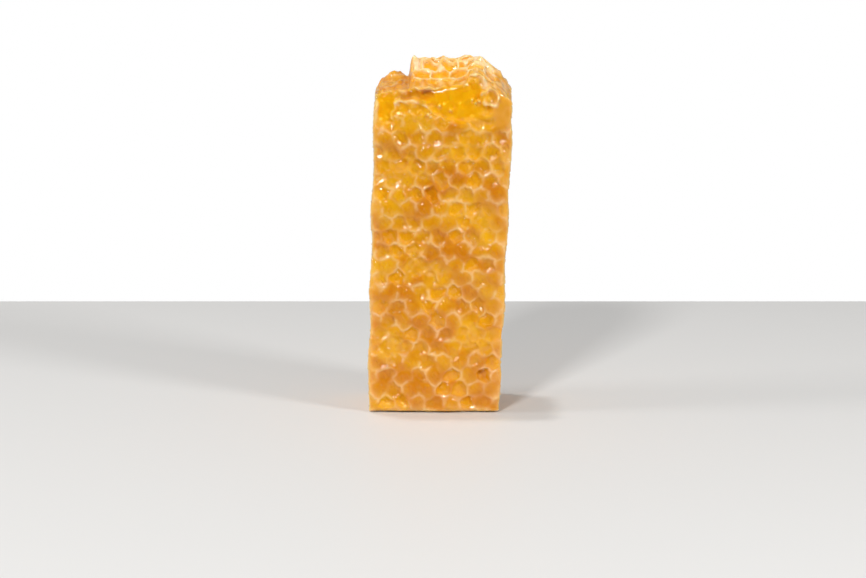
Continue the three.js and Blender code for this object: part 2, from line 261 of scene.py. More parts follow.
@dataclass(frozen=True)
class Noise:
    """A pattern of soft blotches of a real size, drawn by the shader."""

    size_mm: float
    strength: float
    detail: float = 3.0

    def pattern(self, tree: Tree) -> Socket:
        """Returns the bare pattern, around one half.

        Args:
            tree: The material's nodes.

        Returns:
            Its socket.
        """
        place = add_node(tree, "ShaderNodeTexCoord").outputs["Object"]
        inputs = {"Vector": place, "Scale": 1.0 / (self.size_mm * MM), "Detail": self.detail}
        return add_node(tree, "ShaderNodeTexNoise", inputs).outputs["Fac"]

    def lay(self, tree: Tree, value: Socket, laying: Laying) -> Socket:
        """Lays the pattern on a value.

        Args:
            tree: The material's nodes.
            value: The value, from 0 to 1.
            laying: Whether the pattern is added to the value or scales it, which leaves 0 at 0.

        Returns:
            The outcome, kept from 0 to 1.
        """
        operation, middle = laying.value
        inputs = {0: self.pattern(tree), 1: self.strength, 2: middle - self.strength / 2}
        centred = add_node(tree, "ShaderNodeMath", inputs, operation="MULTIPLY_ADD").outputs[0]
        inputs = {0: value, 1: centred}
        return add_node(tree, "ShaderNodeMath", inputs, operation=operation, use_clamp=True).outputs[0]

    def bumps(self, tree: Tree, height_mm: float) -> Socket:
        """Returns the normal of a surface that the pattern makes uneven by a height."""
        inputs = {"Strength": self.strength, "Distance": height_mm * MM, "Height": self.pattern(tree)}
        return add_node(tree, "ShaderNodeBump", inputs).outputs["Normal"]


@dataclass(frozen=True)
class HoneyedBeeswax:
    """Comb built by bees from new beeswax and full of honey, wet all over from the cut.

    New wax is cream coloured and lets light far in. With honey behind it the light comes back golden, and
    it stays pale only where the wax is thick or has air under it: rims, ridges and torn edges. The film of
    honey on it gives the sharp highlights.
    """

    gold: str = "#E6A60A"
    amber: str = "#D28105"
    deep: str = "#FFC31A"
    peach: str = "#EBAB48"
    cream: str = "#FCDDAE"
    wax_roughness: float = 0.42
    wax_ior: float = 1.44
    wax_specular: float = 0.05  # honey on wax hides nearly all of the wax's own shine
    film_weight: float = 0.8
    film_roughness: float = 0.08
    honey_ior: float = 1.49
    glow_weight: float = 0.55
    glow_reach_mm: float = 2.4
    glow_colour: tuple[float, float, float] = (1.0, 0.7, 0.25)  # red light goes the furthest
    mottle: Noise = Noise(8.0, 1.2)
    blotches: Noise = Noise(2.2, 0.9)
    milky_patches: Noise = Noise(2.2, 2.4)
    pale_patches: Noise = Noise(1.1, 1.2)
    grain: Noise = Noise(0.45, 0.35, detail=2.0)
    grain_height_mm: float = 0.06
    film_waves: Noise = Noise(1.7, 0.5, detail=1.0)
    film_wave_height_mm: float = 0.2

    def material(self) -> bpy.types.Material:
        """Builds the material, which reads the look that each mesh carries on its points.

        Returns:
            The material.
        """
        made = blank_material("honeyed_beeswax")
        tree = made.node_tree
        pale, milky, tone, depth = (
            add_node(tree, "ShaderNodeAttribute", attribute_name=name).outputs["Fac"] for name in LOOKS
        )
        warm = self.mottle.lay(tree, tone, Laying.ADDED)
        warm = self.blotches.lay(tree, warm, Laying.ADDED)
        milky = self.milky_patches.lay(tree, milky, Laying.SCALING)
        pale = self.pale_patches.lay(tree, pale, Laying.SCALING)
        colour = mix(tree, warm, linear(self.gold), linear(self.amber))
        for share, code in ((milky, self.peach), (depth, self.deep), (pale, self.cream)):
            colour = mix(tree, share, colour, linear(code))
        shader = add_node(
            tree,
            "ShaderNodeBsdfPrincipled",
            {
                "Base Color": colour,
                "Roughness": self.wax_roughness,
                "IOR": self.wax_ior,
                "Specular IOR Level": self.wax_specular,
                "Subsurface Weight": self.glow_weight,
                "Subsurface Radius": self.glow_colour,
                "Subsurface Scale": self.glow_reach_mm * MM,
                "Coat Weight": self.film_weight,
                "Coat Roughness": self.film_roughness,
                "Coat IOR": self.honey_ior,
                "Normal": self.grain.bumps(tree, self.grain_height_mm),
                "Coat Normal": self.film_waves.bumps(tree, self.film_wave_height_mm),
            },
            subsurface_method="RANDOM_WALK",
        )
        add_node(tree, "ShaderNodeOutputMaterial", {"Surface": shader.outputs[0]})
        return made


@dataclass(frozen=True)
class ClearHoney:
    """Liquid honey, which wets the comb, stands in its open cells and hangs on its torn face.

    It is clear, and takes the blue out of light first, so that a thin film is straw coloured and a pool
    amber.
    """

    ior: float = 1.49
    roughness: float = 0.12
    specular: float = 0.5
    absorbed: Colour = (0.995, 0.925, 0.04, 1.0)
    density_per_m: float = 520.0

    def material(self) -> bpy.types.Material:
        """Builds the material: a refracting surface round an absorbing inside.

        Rays that light the wax go straight through the surface, so that wax under honey is lit as brightly
        as it is when real honey gathers the light onto it.

        Returns:
            The material.
        """
        made = blank_material("clear_honey")
        tree = made.node_tree
        surface = add_node(
            tree,
            "ShaderNodeBsdfPrincipled",
            {
                "Base Color": WHITE,
                "Roughness": self.roughness,
                "IOR": self.ior,
                "Specular IOR Level": self.specular,
                "Transmission Weight": 1.0,
            },
        )
        path = add_node(tree, "ShaderNodeLightPath").outputs
        rays = {0: path["Is Shadow Ray"], 1: path["Is Diffuse Ray"]}
        lighting = add_node(tree, "ShaderNodeMath", rays, operation="MAXIMUM").outputs[0]
        opening = add_node(tree, "ShaderNodeBsdfTransparent")
        inputs = {0: lighting, 1: surface.outputs[0], 2: opening.outputs[0]}
        skin = add_node(tree, "ShaderNodeMixShader", inputs)
        absorption = {"Color": self.absorbed, "Density": self.density_per_m}
        inside = add_node(tree, "ShaderNodeVolumeAbsorption", absorption)
        ends = {"Surface": skin.outputs[0], "Volume": inside.outputs[0]}
        add_node(tree, "ShaderNodeOutputMaterial", ends)
        return made


@dataclass(frozen=True)
class PaintedBoard:
    """Pale emulsion paint, rolled on a board: matt, with hardly any shine."""

    colour: str = "#DDDCDA"
    roughness: float = 0.6

    def material(self) -> bpy.types.Material:
        """Builds the material.

        Returns:
            The material.
        """
        made = blank_material("painted_board")
        inputs = {"Base Color": linear(self.colour), "Roughness": self.roughness}
        shader = add_node(made.node_tree, "ShaderNodeBsdfPrincipled", inputs)
        add_node(made.node_tree, "ShaderNodeOutputMaterial", {"Surface": shader.outputs[0]})
        return made


# ---- The slab's plain form ----


class Face(Enum):
    """The six faces of the slab: the axis that each looks along, from 0 for X to 2 for Z, and which way."""

    FRONT = (1, -1)
    BACK = (1, 1)
    LEFT = (0, -1)
    RIGHT = (0, 1)
    TORN = (2, 1)
    FOOT = (2, -1)

    def __init__(self, axis: int, way: int) -> None:
        """Keeps what the face looks along, and lists the two axes that its maps run over.

        Args:
            axis: The axis that the face looks along.
            way: 1 where it looks up that axis, and -1 where it looks down it.
        """
        self.axis = axis
        self.way = way
        self.map_axes = tuple(other for other in range(3) if other != axis)


WAVE_TURNS = {Face.FRONT: 1.3, Face.BACK: 3.4, Face.LEFT: 0.6, Face.RIGHT: 2.1}  # so no two faces are alike


@dataclass(frozen=True)
class Slab:
    """The slab's plain form: two gently waved faces, two cuts, a flat foot and a torn, sloping upper end."""

    height: float = 115.0
    width_foot: float = 42.6
    width_head: float = 44.6
    thickness: float = 30.0
    lean: float = 3.4
    capping_dome: float = 0.85
    waves: CrossedWaves = CrossedWaves((0.19, 0.11), (-0.07, 0.13))
    side_wave: float = 0.5
    side_turn: float = 0.3  # the share of a cut's unevenness that it has through the slab
    face_wave: float = 0.6
    brow_depth: float = -13.0
    ledge_front: float = -9.2
    ledge_back: float = -3.6
    crest_depth: float = 1.8
    lip_share: float = 0.25  # of the rise from brow to crest, the part before the ledge
    ledge_share: float = 0.28  # and the part along it
    back_drop: float = 2.6
    crest: Points = (
        (-24.0, 100.4), (-21.2, 103.4), (-18.4, 107.6), (-15.2, 109.4), (-12.4, 109.4), (-9.9, 108.2),
        (-8.8, 114.0), (-1.4, 113.8), (1.2, 114.6), (3.4, 113.6), (6.0, 113.7), (8.7, 114.6), (13.4, 114.4),
        (15.1, 113.2), (17.4, 111.2), (19.8, 109.8), (21.2, 107.5), (24.0, 104.0),
    )
    brow: Points = (
        (-24.0, 102.6), (-18.0, 105.2), (-11.0, 105.8), (-6.5, 106.8), (-0.7, 106.4), (5.0, 107.0),
        (8.6, 107.6), (10.0, 110.4), (12.2, 111.2), (14.2, 109.8), (15.6, 107.2), (18.0, 106.0),
        (24.0, 102.0),
    )

    @staticmethod
    def line_through(points: Points, x: Map) -> Map:
        """Follows a line that is halfway between straight and level at its points.

        Args:
            points: The line's points.
            x: Place across the slab.

        Returns:
            The line's height at each place.
        """
        xs, zs = np.array(points, float).T
        i = np.clip(np.searchsorted(xs, x, side="right"), 1, len(xs) - 1)
        share = np.clip((x - xs[i - 1]) / (xs[i] - xs[i - 1]), 0.0, 1.0)
        step = share**3 * (share * (share * 6.0 - 15.0) + 10.0)
        return zs[i - 1] + (zs[i] - zs[i - 1]) * (step + share) / 2

    def middle(self, z: Map) -> Map:
        """Returns the x of the slab's middle line at each height."""
        return self.lean * (z / self.height - 0.5)

    def half_width(self, z: Map) -> Map:
        """Returns half the slab's width at each height."""
        return (self.width_foot + (self.width_head - self.width_foot) * (z / self.height)) / 2

    def side(self, face: Face, along: Map, z: Map) -> Map:
        """Works out where one of the four upright faces stands.

        Args:
            face: The face.
            along: Place along it: x for a broad face, y for a cut.
            z: Height.

        Returns:
            The y of a broad face, or the x of a cut.
        """
        if face.axis == 0:
            wave = self.side_wave * self.waves.at(self.side_turn * along, z, WAVE_TURNS[face])
            return self.middle(z) + face.way * self.half_width(z) + wave
        wave = self.face_wave * self.waves.at(along, z, WAVE_TURNS[face])
        return face.way * (self.thickness / 2 - self.capping_dome) + wave

    def torn(self, x: Map, y: Map) -> Map:
        """Works out the torn end: a brow, a ledge, a steep rise to the crest, and a fall to the back.

        Args:
            x: Place across the slab.
            y: Place through it.

        Returns:
            The height at each place.
        """
        brow = self.line_through(self.brow, x)
        crest = self.line_through(self.crest, x)
        lip = self.lip_share * ease(self.brow_depth, self.ledge_front, y)
        along = (y - self.ledge_front) / (self.ledge_back - self.ledge_front)
        ledge = self.ledge_share * np.clip(along, 0.0, 1.0)
        cliff = (1 - self.lip_share - self.ledge_share) * ease(self.ledge_back, self.crest_depth, y)
        drop = self.back_drop * ease(self.crest_depth, self.thickness / 2, y)
        return brow + (crest - brow) * (lip + ledge + cliff) - drop

    def depth(self, face: Face, x: Map, y: Map, z: Map) -> Map:
        """Works out how deep each point lies below one plain face.

        Args:
            face: The face.
            x: Place across the slab.
            y: Place through it.
            z: Height.

        Returns:
            The depth, under 0 outside the face.
        """
        if face is Face.FOOT:
            return z
        if face is Face.TORN:
            return self.torn(x, y) - z
        place, along = (x, y) if face.axis == 0 else (y, x)
        return face.way * (self.side(face, along, z) - place)


# ---- Cells ----


# What a cell's column, its row and the salt are multiplied by for a draw, and the sine of their sum.
DRAW_TURNS = (127.1, 311.7, 74.7)
DRAW_SCALE = 43758.5453


@dataclass(frozen=True)
class Cells:
    """Where the points of a map lie in the lattice of cells."""

    wall: Map  # how far a point is from the middle of the nearest cell wall
    column: Map
    row: Map

    def draw(self, salt: int) -> Map:
        """Draws a repeatable number for each cell.

        Args:
            salt: What sets this draw apart from others.

        Returns:
            A number from 0 to 1 at each place, the same all over a cell.
        """
        turns = self.column * DRAW_TURNS[0] + self.row * DRAW_TURNS[1] + salt * DRAW_TURNS[2]
        value = np.sin(turns) * DRAW_SCALE
        return value - np.floor(value)


@dataclass(frozen=True)
class Lattice:
    """The bees' lattice of six-sided cells, with two walls upright, seen square on."""

    width: float = 5.3
    stray: float = 0.6  # how far a cell lies from its place in an even lattice
    shift: Span = (0.0, 0.0)
    stray_across: CrossedWaves = CrossedWaves((0.35, 0.85), (0.0, 0.31), (0.0, 0.2))
    stray_along: CrossedWaves = CrossedWaves((0.8, -0.4), (0.27, 0.0), (1.1, 0.0))
    fray: float = 0.11  # how far a wall wavers from straight
    fray_length: float = 1.9

    def locate(self, across: Map, along: Map) -> Cells:
        """Finds the cell that each point lies in.

        Args:
            across: Place along the rows.
            along: Place up the columns.

        Returns:
            The points' places in the lattice.
        """
        pitch = self.width * math.sqrt(3) / 2
        u, v = across - self.shift[0], along - self.shift[1]
        u, v = u - self.stray * self.stray_across.at(u, v), v - self.stray * self.stray_along.at(u, v)
        fray_u, fray_v = (self.fray * ripple(u, v, self.fray_length, seed) for seed in (501, 502))
        u, v = u + fray_u, v + fray_v
        even_u, even_v = self.width * np.round(u / self.width), 2 * pitch * np.round(v / (2 * pitch))
        odd_u = self.width * (np.floor(u / self.width) + 0.5)
        odd_v = 2 * pitch * (np.floor(v / (2 * pitch)) + 0.5)
        nearer = np.hypot(u - even_u, v - even_v) < np.hypot(u - odd_u, v - odd_v)
        centre_u, centre_v = np.where(nearer, even_u, odd_u), np.where(nearer, even_v, odd_v)
        du, dv = np.abs(u - centre_u), np.abs(v - centre_v)
        wall = self.width / 2 - np.maximum(du, 0.5 * du + math.sqrt(0.75) * dv)
        return Cells(wall, np.round(centre_u / self.width * 2), np.round(centre_v / pitch))


# ---- Relief of the faces ----


NO_HONEY = -9.0  # a level of honey so far below the wax that there is none
THINNEST_HONEY = 0.02


@dataclass
class Relief:
    """What one face carries, as maps over its two coordinates."""

    wax: Map  # how far the wax stands out of the plain face
    honey: Map  # how far the honey does
    pale: Map  # 1 where the wax shows its own cream
    milky: Map  # 1 where the wax is thick enough to hide the honey behind it
    tone: Map  # 0 for golden cells, 1 for amber ones
    depth: Map  # 1 where the eye looks deep into honey

    def level(self, hidden: float) -> Map:
        """Returns how far the honey stands out, or where it has none, a level hidden in the wax."""
        return np.where(self.honey > self.wax + THINNEST_HONEY, self.honey, self.wax - hidden)


@dataclass(frozen=True)
class Ridge:
    """A line of wax that stands up along a face: the edge of a torn wall or capping."""

    points: Points
    height: float
    width: float
    pale: float = 1.0

    def rise(self, across: Map, along: Map, spread: float = 1.0) -> Map:
        """Returns the ridge's share of its full height at each place, or that of one spread wider."""
        return bell(path_distance(across, along, self.points), spread * self.width)


@dataclass(frozen=True)
class Patch:
    """An oval part of a face, which fades out at its edge."""

    centre: Span
    reach: Span
    fade: Span = (1.25, 0.6)  # from nothing to all of it, as shares of the reach

    def share(self, across: Map, along: Map) -> Map:
        """Works out how much of the patch there is at each place.

        Args:
            across: First coordinate of each place.
            along: Second coordinate.

        Returns:
            1 over the middle of the patch, and 0 well outside it.
        """
        du = (across - self.centre[0]) / self.reach[0]
        dv = (along - self.centre[1]) / self.reach[1]
        return ease(*self.fade, np.hypot(du, dv))


@dataclass(frozen=True)
class CappedFace:
    """A broad face of the slab: cells shut by thin cappings, domed where dry and sunken where wet."""

    lattice: Lattice
    salt: int
    rim_height: float = 0.26
    rim_width: float = 0.5
    open_share: float = 0.04
    puddled_share: float = 0.22
    sunken_share: float = 0.35
    open_floor: float = -1.3
    puddle_floor: float = -0.75
    puddle_level: float = -0.1
    crown_span: Span = (0.1, 1.5)  # from a wall to where a capping has its full height
    hollow_span: Span = (1.0, 3.5)  # from a cut to where a cell has its full hollow
    seam_width: float = 0.45
    cut_haze: float = 2.2  # how far from a cut the bruised wax is milky
    foot_span: Span = (75.0, 15.0)  # down these heights the cells turn amber

    def relief(self, x: Map, z: Map, from_cut: Map) -> Relief:
        """Works out the maps of the capped cells.

        Args:
            x: Place across the face.
            z: Height.
            from_cut: Distance from the nearest cut.

        Returns:
            The relief at each place.
        """
        cells = self.lattice.locate(x, z)
        state, size, hue = (cells.draw(self.salt + i) for i in range(3))
        opened = state < self.open_share
        wet = state < self.open_share + self.puddled_share
        sunken = state < self.open_share + self.puddled_share + self.sunken_share
        patchy = patches(x, z, 6.5, self.salt + 3, 1.3)
        rim = self.rim_height * bell(cells.wall, self.rim_width) * (0.4 + 0.9 * patchy)
        plateau = ease(*self.crown_span, cells.wall)
        inner = ease(*self.hollow_span, from_cut)
        crown = np.where(sunken, -0.2 - 0.4 * size, 0.15 + 0.4 * size)
        crown = np.where(wet, (self.puddle_floor - 0.3 * size) * inner, crown)
        crown = np.where(opened, (self.open_floor - 0.5 * size) * inner, crown)
        wrinkle = 0.07 * ripple(x, z, 1.3, self.salt) + 0.04 * ripple(x, z, 0.7, self.salt + 1)
        slow = 0.25 * ripple(x, z, 15.0, self.salt + 5)
        level = self.puddle_level - 0.25 * opened + 0.15 * plateau + 0.08 * ripple(x, z, 3.0, self.salt + 4)
        seam = bell(cells.wall, self.seam_width)
        haze = bell(cells.wall - 0.8, 0.7)
        cut = bell(from_cut, self.cut_haze)
        tone = 0.28 + 0.35 * hue + 0.3 * ripple(x, z, 19.0, self.salt + 2) + 0.2 * (0.5 - patchy)
        return Relief(
            wax=rim + crown * plateau + wrinkle * (0.3 + 0.7 * plateau) + slow,
            honey=np.where(wet, level + slow, NO_HONEY),
            pale=seam * (0.36 * patchy + 0.02) + 0.15 * cut * patchy,
            milky=np.where(wet, 0.0, 0.2 * haze * patchy) + 0.2 * seam * patchy + 0.35 * cut,
            tone=np.clip(tone + 0.35 * ease(*self.foot_span, z), 0.0, 1.0),
            depth=np.where(wet, 0.4 * ease(0.3, 0.9, cells.wall), 0.0),
        )


@dataclass(frozen=True)
class CrushedHead:
    """The front of the head, without cappings: clear honey over crushed wax, and pale ridges in it."""

    cappings_end: Span = (93.0, 96.5)  # the heights between which the cappings give way
    floor: float = -0.95  # of crushed wax
    pool_depth: float = 0.7
    terrace_rise: float = 0.3
    cell_print: float = 0.4  # how high the walls under the crushed wax still stand
    sheet: float = -0.1  # the honey's surface
    swell: float = 0.32  # and how much further out it stands over the pools
    flank: Span = (15.8, 18.3)  # right of this the wax is bare
    flank_fill: float = 0.85
    ring_centre: Span = (16.4, 103.3)
    ring_radius: float = 2.6
    ring_width: float = 0.6
    ring_height: float = 0.95
    ridges: tuple[Ridge, ...] = (
        Ridge(
            (
                (-21.4, 105.0), (-17.2, 105.4), (-12.7, 105.6), (-7.8, 106.9), (-2.7, 106.3), (0.3, 106.6),
                (2.6, 108.3),
            ),
            0.6, 0.9, 0.75,
        ),
        Ridge(
            ((-15.3, 96.4), (-14.5, 100.0), (-13.1, 102.3), (-10.2, 102.1), (-7.0, 101.8), (-4.1, 100.7)),
            0.55, 0.6, 0.85,
        ),
        Ridge(((-4.1, 100.7), (-2.0, 98.7), (0.2, 97.0), (1.9, 95.0)), 0.55, 0.5, 0.9),
        Ridge(
            ((8.6, 108.2), (9.7, 110.4), (12.2, 111.2), (14.1, 109.9), (15.1, 107.8), (14.6, 106.0)),
            0.7, 0.7,
        ),
        Ridge(((16.9, 107.0), (19.9, 108.6)), 0.5, 0.5),
        Ridge(((-20.1, 105.0), (-20.4, 99.0), (-20.9, 91.0)), 0.4, 1.3, 0.6),
        Ridge(((14.4, 100.0), (15.6, 98.4)), 0.4, 0.8, 0.8),
    )
    pools: tuple[Patch, ...] = (Patch((5.6, 101.2), (9.5, 6.6)), Patch((-16.9, 100.2), (2.6, 5.6)))
    # The wells are real hollows under the brow, and their darker amber tone and lesser deep colour are
    # painted shade.
    shaded_wells: tuple[Patch, ...] = (Patch((-10.6, 103.9), (2.4, 1.5)), Patch((-4.6, 104.2), (3.4, 1.8)))
    well_depth: float = 0.4
    terrace: Patch = Patch((-7.6, 98.0), (6.0, 3.4))
    beads: Points = (
        (10.6, 102.6), (11.7, 101.6), (12.7, 102.1), (-9.5, 98.8), (-2.7, 97.0), (-3.5, 97.7), (0.2, 100.6),
        (3.7, 99.2),
    )
    bead_radius: float = 1.1
    bead_slope: float = 0.43  # the slope that mirrors the brightest light to the eye
    bead_tip: float = 0.25
    # A crumb is real wax that stands through the honey, and its full cream colour is also a painted
    # highlight: a bright speck like a sparkle.
    crumb_width: float = 0.4  # each bead hangs on a crumb of wax
    crumb_stand: float = 0.1  # which comes this far through the honey
    waver: float = 0.4  # how far a ridge wanders from its line
    ridge_scale: float = 1.5  # how far a ridge stands above the floor, for each of its height
    glow_spread: float = 2.4  # how much wider the milky foot of a ridge is
    bruise_share: float = 0.75  # how far a bruise lower down is crushed
    bruises: tuple[Patch, ...] = (
        Patch((-13.0, 80.0), (8.0, 5.0)),
        Patch((9.0, 86.0), (7.0, 4.0)),
        Patch((15.0, 62.0), (5.0, 7.0)),
        Patch((-5.0, 47.0), (7.5, 4.5)),
        Patch((11.0, 24.0), (8.0, 5.0)),
        Patch((-16.0, 20.0), (4.5, 6.0)),
    )

    def dress(self, x: Map, z: Map, cells: Cells, capped: Relief) -> Relief:
        """Lays the crushed head over the capped face.

        Args:
            x: Place across the face.
            z: Height.
            cells: The lattice under the crushed wax.
            capped: The relief of the capped cells.

        Returns:
            The relief of the whole face.
        """
        height = z + 1.3 * ripple(x, z, 11.0, 301) + 1.2 * np.sin(x / 7.0)
        u, v = x + 1.5 * ripple(x, z, 7.0, 307), z + 1.5 * ripple(x, z, 7.0, 308)
        bruise = highest(patch.share(u, v) for patch in self.bruises)
        share = np.maximum(ease(*self.cappings_end, height), self.bruise_share * bruise)
        pool = highest(patch.share(x, z) for patch in self.pools)
        well = highest(patch.share(x, z) for patch in self.shaded_wells)
        terrace = self.terrace.share(x, z)
        flank = ease(*self.flank, x)

        # The floor of crushed wax, and the ridges on it.
        off_x, off_z = x - self.ring_centre[0], z - self.ring_centre[1]
        from_ring = np.hypot(off_x, off_z) - self.ring_radius + 0.25 * ripple(x, z, 4.0, 312)
        ring = bell(from_ring, self.ring_width) * (0.75 + 0.25 * ease(-1.0, 2.0, off_x))
        u, v = x + self.waver * ripple(x, z, 5.2, 310), z + self.waver * ripple(x, z, 4.4, 311)
        ridge = highest([r.height * r.rise(u, v) for r in self.ridges] + [self.ring_height * ring])
        glow = highest(r.rise(u, v, self.glow_spread) for r in self.ridges)
        pale = highest([r.pale * r.rise(u, v) for r in self.ridges] + [ring])
        pale = pale * np.clip(0.85 + 0.4 * ripple(x, z, 3.4, 309), 0.25, 1.0)
        lumps = (0.25 * ripple(x, z, 4.5, 303) + 0.06 * ripple(x, z, 1.6, 305)) * (1.0 - 0.6 * pool)
        prints = self.cell_print * (1.0 - ease(0.1, 1.1, cells.wall)) * (1.0 - 0.4 * pool)
        floor = self.floor - self.pool_depth * pool - self.well_depth * well + self.terrace_rise * terrace
        wobble = 1.0 + 0.25 * ripple(x, z, 3.4, 302)
        wax = (floor + prints + lumps) * (1.0 - self.flank_fill * flank) + ridge * self.ridge_scale * wobble

        # The honey over it, and the crumbs of wax that come through, whose cream is partly a painted
        # highlight.
        from_bead = reduce(np.minimum, [np.hypot(x - bead_x, z - bead_z) for bead_x, bead_z in self.beads])
        bead = self.bead_slope * np.maximum(self.bead_radius - np.hypot(from_bead, self.bead_tip), 0.0)
        sheet = self.sheet + self.swell * pool + 0.2 * terrace + 0.07 * ripple(x, z, 6.5, 304)
        sheet = sheet + bead - 0.5 * flank - 0.35 * glow**2
        crumb = bell(from_bead, self.crumb_width)
        wax = wax + crumb * np.maximum(sheet + self.crumb_stand - wax, 0.0)

        # How the wax looks through the honey.
        # Cream all over each crumb, even where honey still covers it, is a painted highlight.
        pale = np.maximum(pale * (1.0 - 0.8 * ease(0.0, 0.5, sheet - wax)), crumb)
        milky = (0.2 * patches(x, z, 3.4, 306) + 0.4 * glow) * (1 - pool) + 0.4 * flank
        # Less deep colour in the wells is painted shade under the brow.
        depth = (0.3 + 0.6 * pool - 0.3 * well) * (1 - pale) * (1 - flank)
        return Relief(
            wax=blend(capped.wax, wax, share),
            honey=np.where(share > 0.04, sheet - 1.2 * (1 - share), capped.honey),
            pale=blend(capped.pale, np.clip(pale, 0.0, 1.0), share),
            milky=blend(capped.milky, milky, share),
            # The wells' darker amber tone is painted shade under the brow.
            tone=blend(capped.tone, 0.25 - 0.05 * pool + 0.55 * well - 0.15 * terrace, share),
            depth=blend(capped.depth, depth, share),
        )


@dataclass(frozen=True)
class CutFace:
    """A knife cut along the cells: thin walls of pale wax with honey between them, lying a little back."""

    wall_width: float = 0.34
    floor_depth: float = 1.5
    level: float = -0.25
    crust: float = 0.9  # thickness of the capping and the bruised wax behind it
    slope_span: Span = (0.25, 0.75)  # from walls that lie along the cut to walls across it
    row_shift: float = 40.0  # apart from each other, so that no two rows are uneven alike

    def relief(self, cells: Cells, midrib: Map, mouth: Map, edge: Map, pitch: float, seed: int) -> Relief:
        """Works out the maps of a cut.

        Args:
            cells: The lattice where the knife went through it.
            midrib: Distance from the middle sheet of wax.
            mouth: Distance from the capped end of the cells.
            edge: Distance from the edge where this cut meets the next one.
            pitch: Distance between the maps' samples.
            seed: Seed of the cut's unevenness.

        Returns:
            The relief at each place.
        """
        gap = np.minimum(np.minimum(cells.wall, midrib), np.maximum(mouth - self.crust, 0.0))
        edge_on = ease(*self.slope_span, np.hypot(*np.gradient(gap, pitch)))
        uneven = ripple(midrib + self.row_shift * cells.row, mouth, 9.0, seed)
        wall = bell(gap, self.wall_width)
        hollow = -self.floor_depth * ease(0.12, 0.7, gap) * ease(0.3, 2.2, edge)
        return Relief(
            wax=hollow + 0.1 * uneven + 0.2 * wall - 0.4 * wall * (1 - edge_on),
            honey=self.level + 0.12 * uneven + 0.15 * bell(gap, 0.5),
            pale=wall * (0.15 + 0.75 * edge_on),
            milky=0.15 + 0.55 * wall,
            tone=np.clip(0.2 + 0.6 * cells.draw(seed), 0, 1),
            depth=0.6 * ease(0.3, 0.9, gap),
        )


@dataclass(frozen=True)
class TornFace:
    """The torn upper end: open cells full of honey, with uneven pale rims and standing scraps of wax."""

    lattice: Lattice = Lattice(5.8, 0.3, shift=(0.4, -6.2))
    rim_height: float = 0.4
    rim_width: float = 0.38
    seam_width: float = 0.418
    floor_depth: float = 1.8
    level: float = -0.45
    left_edge: Span = (-7.7, -9.2)  # the cells left of this are crushed shut
    right_edge: Span = (17.0, 18.5)  # and so are those right of this
    front_edge: Span = (-9.2, -10.4)  # and those in front of this
    ledge: Span = (-3.0, -5.0)  # the ledge lies in front of this
    skins: tuple[Patch, ...] = (Patch((-7.0, 0.0), (1.3, 4.0)), Patch((0.7, -2.4), (1.9, 1.7)))
    scraps: tuple[Ridge, ...] = (
        Ridge(((-7.9, 3.4), (-7.7, -1.0), (-7.6, -3.4)), 0.4, 0.9, 0.8),
        Ridge(((-7.6, -3.4), (-5.6, -2.9), (-2.6, -4.4)), 0.4, 0.5, 0.9),
        Ridge(((8.6, -4.2), (8.7, -1.4)), 0.5, 0.55),
        Ridge(((11.6, -3.8), (14.2, -3.0), (15.8, -3.6), (17.4, -3.0)), 0.6, 0.8),
        Ridge(((11.4, -1.0), (14.2, -0.4), (17.0, -0.8)), 0.35, 1.1),
    )

    def relief(self, x: Map, y: Map, midrib: Map) -> Relief:
        """Works out the maps of the torn end.

        Args:
            x: Place across the slab.
            y: Place through it.
            midrib: Distance from the middle sheet of wax, which ends the cells on both sides of it.

        Returns:
            The relief at each place.
        """
        cells = self.lattice.locate(x, y)
        gap = np.minimum(cells.wall, 0.8 * midrib)
        patchy = patches(x, y, 3.6, 404)
        left, right = ease(*self.left_edge, x), ease(*self.right_edge, x)
        skin = highest(patch.share(x, y) for patch in self.skins)
        shut = highest((left, right, ease(*self.front_edge, y), skin))
        ledge = ease(*self.ledge, y)
        rim = self.rim_height * (1 - 0.4 * ledge) + 0.15 * ripple(x, y, 4.2, 401)
        hollow = -self.floor_depth * ease(0.25, 0.9, gap)
        lumps = 0.35 * ripple(1.15 * x, 0.45 * y, 4.4, 402) * (1 - 0.6 * np.maximum(left, right))
        lumps = lumps + 0.14 * ripple(1.2 * x, 0.5 * y, 2.2, 403) + 0.06 * ripple(x, y, 1.0, 405)
        scrap = highest(s.height * s.rise(x, y) for s in self.scraps)
        scrap_pale = highest([s.pale * s.rise(x, y) for s in self.scraps] + [0.75 * skin])
        seam_pale = bell(gap, self.seam_width) * (0.55 + 0.45 * patchy) * (1 - 0.8 * shut)
        level = self.level + 0.2 * cells.draw(9) + 0.3 * bell(gap - 0.2, 0.5) + 0.25 * ledge
        tone = 0.12 + 0.35 * cells.draw(11) + 0.3 * shut * (1 - patchy) + 0.3 * left
        return Relief(
            wax=(rim * bell(gap, self.rim_width) + hollow) * (1 - shut) + lumps * (0.3 + 0.7 * shut) + scrap,
            honey=np.where(shut > 0.5, NO_HONEY, level),
            pale=np.maximum(seam_pale, scrap_pale) + 0.2 * shut * patchy * (1 - 0.7 * left),
            milky=0.3 * shut * patchy * (1 - 0.4 * left) + 0.05,
            tone=np.clip(tone, 0.0, 1.0),
            depth=0.85 * ease(0.3, 0.8, gap) * (1 - shut) * (1 - scrap_pale),
        )


# ---- The block of space that the comb is worked out in ----


